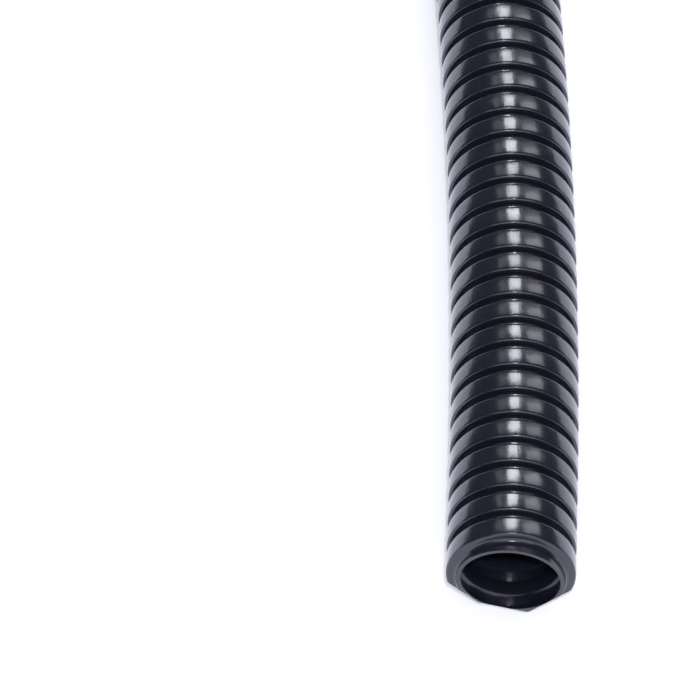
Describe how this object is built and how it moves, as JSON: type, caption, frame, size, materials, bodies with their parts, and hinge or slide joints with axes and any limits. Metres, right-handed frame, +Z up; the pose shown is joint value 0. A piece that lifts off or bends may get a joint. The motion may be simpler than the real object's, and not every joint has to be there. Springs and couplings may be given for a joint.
{
  "type": "corrugated conduit",
  "caption": "Length of closed corrugated nylon conduit with ring-shaped waves, gently bowed near its slant-cut mouth and straight to a square-cut far end.",
  "frame": {"origin": "on the floor under the straight part's axis, at the middle of the conduit's length", "axes": "+X along the straight part towards the square-cut end, +Z up from the floor it lies on, and the stretch before the mouth, at -X, bows towards +Y"},
  "size_m": [0.9994, 0.0178, 0.013],
  "materials": {
    "nylon": "smooth extruded polyamide, near-black with a slight blue tint, glossy"
  },
  "bodies": {
    "root": {"conduit": "nylon"}
  },
  "joints": []
}
